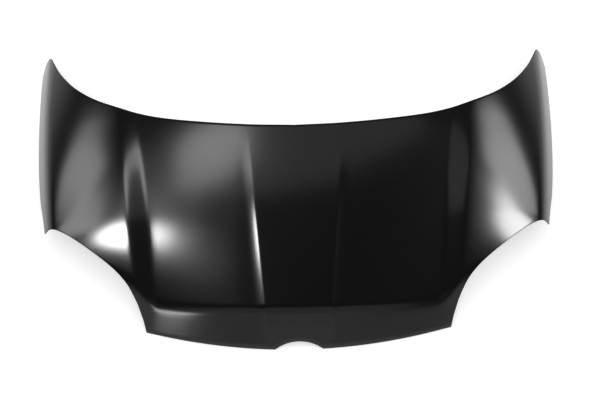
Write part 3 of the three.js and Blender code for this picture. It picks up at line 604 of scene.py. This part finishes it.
def merged_copy(node, name):
    piece = bpy.data.objects.new(name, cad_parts[node].data.copy())
    bpy.context.collection.objects.link(piece)
    bpy.ops.object.select_all(action="DESELECT")
    piece.select_set(True)
    bpy.context.view_layer.objects.active = piece
    bpy.ops.object.mode_set(mode="EDIT")
    bpy.ops.mesh.select_mode(type="FACE")
    bpy.ops.mesh.select_all(action="SELECT")
    bpy.ops.mesh.remove_doubles(threshold=0.00001)
    bpy.ops.mesh.select_all(action="DESELECT")
    return piece


# Only the sheet's lower face is kept, which the modifiers round and thicken
facing_away = -0.08
facing_down = -0.03
inner = merged_copy("inner_frame", "pressed_frame")
net = bmesh.from_edit_mesh(inner.data)
for face in net.faces:
    middle = face.calc_center_median() - set_down
    away = face.normal.dot(skin_normal(middle.x, middle.y)) < facing_away
    face.select_set(not (away and face.normal.z < facing_down))
bmesh.update_edit_mesh(inner.data)
bpy.ops.mesh.delete(type="FACE")
bpy.ops.object.mode_set(mode="OBJECT")
apply_modifier(inner, "SUBSURF", levels=2, render_levels=2)
apply_modifier(inner, "SOLIDIFY", thickness=sheet, offset=-1)
bpy.ops.object.shade_smooth_by_angle(angle=math.radians(35))
frame_coat = dip_coated("frame_coat", (0.008, 0.008, 0.0083), 0.38, 0.10, 0.8, 0.000008)
dress(inner, frame_coat, ["inner_frame"])

# Hinge plates and latch plates
# Thicker plates, 1.5 to 2.5 mm, cut and pierced before they are spot welded to the pads of the inner frame.
# They carry the hinges, the latch and the striker, and were dipped with the rest.

edge_break = 0.0003


def edged(piece, width):
    """Break the sheared edges and shade the rest smooth."""
    corner = math.radians(40)
    apply_modifier(piece, "BEVEL", width=width, segments=2, limit_method="ANGLE", angle_limit=corner)
    bpy.ops.object.shade_smooth_by_angle(angle=math.radians(35))


plate_coat = dip_coated("plate_coat", (0.009, 0.009, 0.0093), 0.34, 0.08, 0.7, 0.000007)
for node in ("hinge_plate_left", "hinge_plate_right", "latch_plate", "striker_plate"):
    plate = merged_copy(node, node + "_pressed")
    bpy.ops.mesh.select_all(action="SELECT")
    bpy.ops.mesh.dissolve_limited(angle_limit=math.radians(1))
    bpy.ops.object.mode_set(mode="OBJECT")
    edged(plate, edge_break)
    dress(plate, plate_coat, [node])

# Weld nuts
# Four M8 nuts, 13 mm across the flats, welded above the hinge plates so that the hinge bolts can be turned
# in from below. They are plated in dull zinc.

nut_across = 0.013
nut_bore = 0.0068
nut_chamfer = 0.0009
nut_shoulder = 0.0003
cutter_overrun = 0.1


def object_noise(tree, scale, detail, roughness):
    where = tree.nodes.new("ShaderNodeTexCoord")
    noise = add_node(tree, "ShaderNodeTexNoise", Scale=scale, Detail=detail, Roughness=roughness)
    tree.links.new(where.outputs["Object"], noise.inputs["Vector"])
    return noise


def mottled(name, spots, stops, dullness, grain, grain_depth):
    """A surface that wanders between two shades and two roughnesses, with a fine grain."""
    material = bpy.data.materials.new(name)
    material.use_nodes = True
    tree = material.node_tree
    shader = tree.nodes["Principled BSDF"]
    mottle = object_noise(tree, *spots)
    shade = tree.nodes.new("ShaderNodeValToRGB")
    for element, (position, colour) in zip(shade.color_ramp.elements, stops):
        element.position = position
        element.color = (*colour, 1)
    tree.links.new(mottle.outputs["Fac"], shade.inputs["Fac"])
    tree.links.new(shade.outputs["Color"], shader.inputs["Base Color"])
    least, most = dullness
    dull = add_node(tree, "ShaderNodeMapRange", From_Min=0.3, From_Max=0.7, To_Min=least, To_Max=most)
    tree.links.new(mottle.outputs["Fac"], dull.inputs["Value"])
    tree.links.new(dull.outputs["Result"], shader.inputs["Roughness"])
    bump = add_node(tree, "ShaderNodeBump", Strength=1.0, Distance=grain_depth)
    tree.links.new(object_noise(tree, *grain).outputs["Fac"], bump.inputs["Height"])
    tree.links.new(bump.outputs["Normal"], shader.inputs["Normal"])
    return material


zinc = mottled(
    "dull_zinc",
    spots=(260.0, 4.0, 0.6),
    stops=((0.35, (0.33, 0.335, 0.34)), (0.7, (0.5, 0.5, 0.505))),
    dullness=(0.36, 0.52),
    grain=(1800.0, 2.0, 0.5),
    grain_depth=0.00001,
)
zinc.node_tree.nodes["Principled BSDF"].inputs["Metallic"].default_value = 1

for side in ("left", "right"):
    for place in ("1", "2"):
        node = f"hinge_nut_{side}_{place}"
        low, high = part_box(node)
        middle = (low + high) / 2
        height = high.z - low.z
        corners_across = high.x - low.x > high.y - low.y
        bpy.ops.object.select_all(action="DESELECT")
        bpy.ops.mesh.primitive_cylinder_add(vertices=6, radius=nut_across / math.sqrt(3), depth=height)
        nut = bpy.context.object
        nut.name = node + "_turned"
        bpy.ops.object.mode_set(mode="EDIT")
        if corners_across:
            bpy.ops.transform.rotate(value=math.radians(30), orient_axis="Z", center_override=(0, 0, 0))
        bpy.ops.object.mode_set(mode="OBJECT")
        for radius, kind in ((nut_bore / 2, "DIFFERENCE"), (nut_across / 2 + nut_shoulder, "INTERSECT")):
            bpy.ops.object.select_all(action="DESELECT")
            reach = height * (1 + 2 * cutter_overrun)
            bpy.ops.mesh.primitive_cylinder_add(vertices=64, radius=radius, depth=reach)
            tool = bpy.context.object
            if kind == "INTERSECT":
                cone = height * cutter_overrun + nut_chamfer
                apply_modifier(tool, "BEVEL", width=cone, segments=1, limit_method="ANGLE")
            bpy.context.view_layer.objects.active = nut
            apply_modifier(nut, "BOOLEAN", operation=kind, object=tool)
            bpy.data.objects.remove(tool)
        nut.data.transform(Matrix.Translation(middle))
        bpy.ops.object.select_all(action="DESELECT")
        nut.select_set(True)
        bpy.ops.object.shade_smooth_by_angle(angle=math.radians(25))
        dress(nut, zinc, [node])

# Striker loop
# An 8 mm steel wire bent into a loop, whose feet are welded to the striker plate behind the notch. The
# latch on the front panel closes round it. It is plated like the nuts.

loop = merged_copy("striker_loop", "bent_striker_loop")
bpy.ops.object.mode_set(mode="OBJECT")
apply_modifier(loop, "SUBSURF", levels=1, render_levels=1)
bpy.ops.object.shade_smooth_by_angle(angle=math.radians(50))
dress(loop, zinc, ["striker_loop"])

# Mastic pads
# Dabs of anti-flutter mastic, put on the rims of the frame's windows before the skin was laid over them and
# cured in the oven. They keep the skin from drumming on the frame.

crumb = (420.0, 5.0, 0.65)
mastic = mottled(
    "cured_mastic",
    spots=crumb,
    stops=((0.3, (0.035, 0.036, 0.038)), (0.75, (0.075, 0.077, 0.08))),
    dullness=(0.7, 0.9),
    grain=crumb,
    grain_depth=0.00015,
)
for node in sorted(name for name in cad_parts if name.startswith("mastic_pad")):
    dab = merged_copy(node, node + "_dab")
    bpy.ops.object.mode_set(mode="OBJECT")
    apply_modifier(dab, "SUBSURF", levels=2, render_levels=2)
    bpy.ops.object.shade_smooth_by_angle(angle=math.radians(60))
    dress(dab, mastic, [node])

# Floor and studio light
# A white floor and backdrop. A lamp box high on the left gives the hard highlight and one on the right a
# softer one. Large weak ones behind them and in front give the grey clouds.

floor_size = 14
floor_glow = 0.45
fill_light = 0.9
bonnet_middle = Vector((0, 0, 0.13))

bpy.ops.mesh.primitive_plane_add(size=floor_size)
floor = bpy.context.object
floor.name = "floor"
paper = bpy.data.materials.new("paper")
paper.use_nodes = True
tree = paper.node_tree
shader = tree.nodes["Principled BSDF"]
shader.inputs["Base Color"].default_value = (0.86, 0.86, 0.86, 1)
shader.inputs["Roughness"].default_value = 0.9
path = tree.nodes.new("ShaderNodeLightPath")
seen = add_node(tree, "ShaderNodeMath", {"operation": "MAXIMUM"})
tree.links.new(path.outputs["Is Camera Ray"], seen.inputs[0])
tree.links.new(path.outputs["Is Glossy Ray"], seen.inputs[1])
seen_or_through = add_node(tree, "ShaderNodeMath", {"operation": "MAXIMUM"})
tree.links.new(seen.outputs[0], seen_or_through.inputs[0])
tree.links.new(path.outputs["Is Transmission Ray"], seen_or_through.inputs[1])
lift = add_node(tree, "ShaderNodeMath", {"operation": "MULTIPLY"})
lift.inputs[1].default_value = floor_glow
tree.links.new(seen_or_through.outputs[0], lift.inputs[0])
shader.inputs["Emission Color"].default_value = (1, 1, 1, 1)
tree.links.new(lift.outputs[0], shader.inputs["Emission Strength"])
floor.data.materials.append(paper)

studio = bpy.data.worlds.new("studio")
bpy.context.scene.world = studio
studio.use_nodes = True
tree = studio.node_tree
backdrop = tree.nodes["Background"]
path = tree.nodes.new("ShaderNodeLightPath")
where = tree.nodes.new("ShaderNodeTexCoord")
split = tree.nodes.new("ShaderNodeSeparateXYZ")
tree.links.new(where.outputs["Generated"], split.inputs[0])
horizon = add_node(tree, "ShaderNodeMapRange", From_Min=0.08, From_Max=0.5, To_Min=0.9, To_Max=0.06)
horizon.interpolation_type = "SMOOTHSTEP"
tree.links.new(split.outputs["Z"], horizon.inputs["Value"])
seen = add_node(tree, "ShaderNodeMath", {"operation": "MAXIMUM"})
tree.links.new(horizon.outputs["Result"], seen.inputs[0])
tree.links.new(path.outputs["Is Camera Ray"], seen.inputs[1])
fill = add_node(tree, "ShaderNodeMix", {"data_type": "FLOAT"}, A=0.0)
tree.links.new(path.outputs["Is Diffuse Ray"], fill.inputs["Factor"])
tree.links.new(seen.outputs[0], fill.inputs[2])
fill.inputs[3].default_value = fill_light
backdrop.inputs["Color"].default_value = (1, 1, 1, 1)
tree.links.new(fill.outputs[0], backdrop.inputs["Strength"])


def lamp_box(name, place, width, height, radiance):
    """An oval lamp box that faces the bonnet."""
    way = (Vector(place) - bonnet_middle).normalized()
    lamp = bpy.data.lights.new(name, "AREA")
    lamp.shape = "ELLIPSE"
    lamp.size = width
    lamp.size_y = height
    lamp.energy = radiance * math.pi**2 * width * height / 4
    holder = bpy.data.objects.new(name, lamp)
    holder.matrix_world = Matrix.Translation(place) @ way.to_track_quat("Z", "Y").to_matrix().to_4x4()
    holder.visible_diffuse = False
    bpy.context.collection.objects.link(holder)


lamp_box("left_key", (-1.65, -0.2, 3.2), 0.8, 1.0, 42)
lamp_box("left_cloud", (-2.8, 0.6, 3.2), 1.0, 1.2, 5.5)
lamp_box("left_rear_cloud", (-3.4, 1.75, 3.2), 0.9, 1.7, 5)
lamp_box("rear_key", (-0.75, 0.85, 3.2), 0.9, 0.6, 5)
lamp_box("rear_cloud", (-0.2, 0.85, 3.2), 3.2, 0.9, 0.5)
lamp_box("right_key", (2.75, 0.15, 3.2), 1.7, 1.0, 24)
lamp_box("right_cloud", (3.3, 1.7, 3.2), 1.2, 1.5, 6.5)
lamp_box("front_cloud", (0.0, -3.6, 2.4), 4.0, 2.5, 0.35)
lamp_box("front_strip", (-1.6, -2.9, 1.1), 0.6, 0.35, 13)

bpy.context.scene.view_settings.view_transform = "Standard"
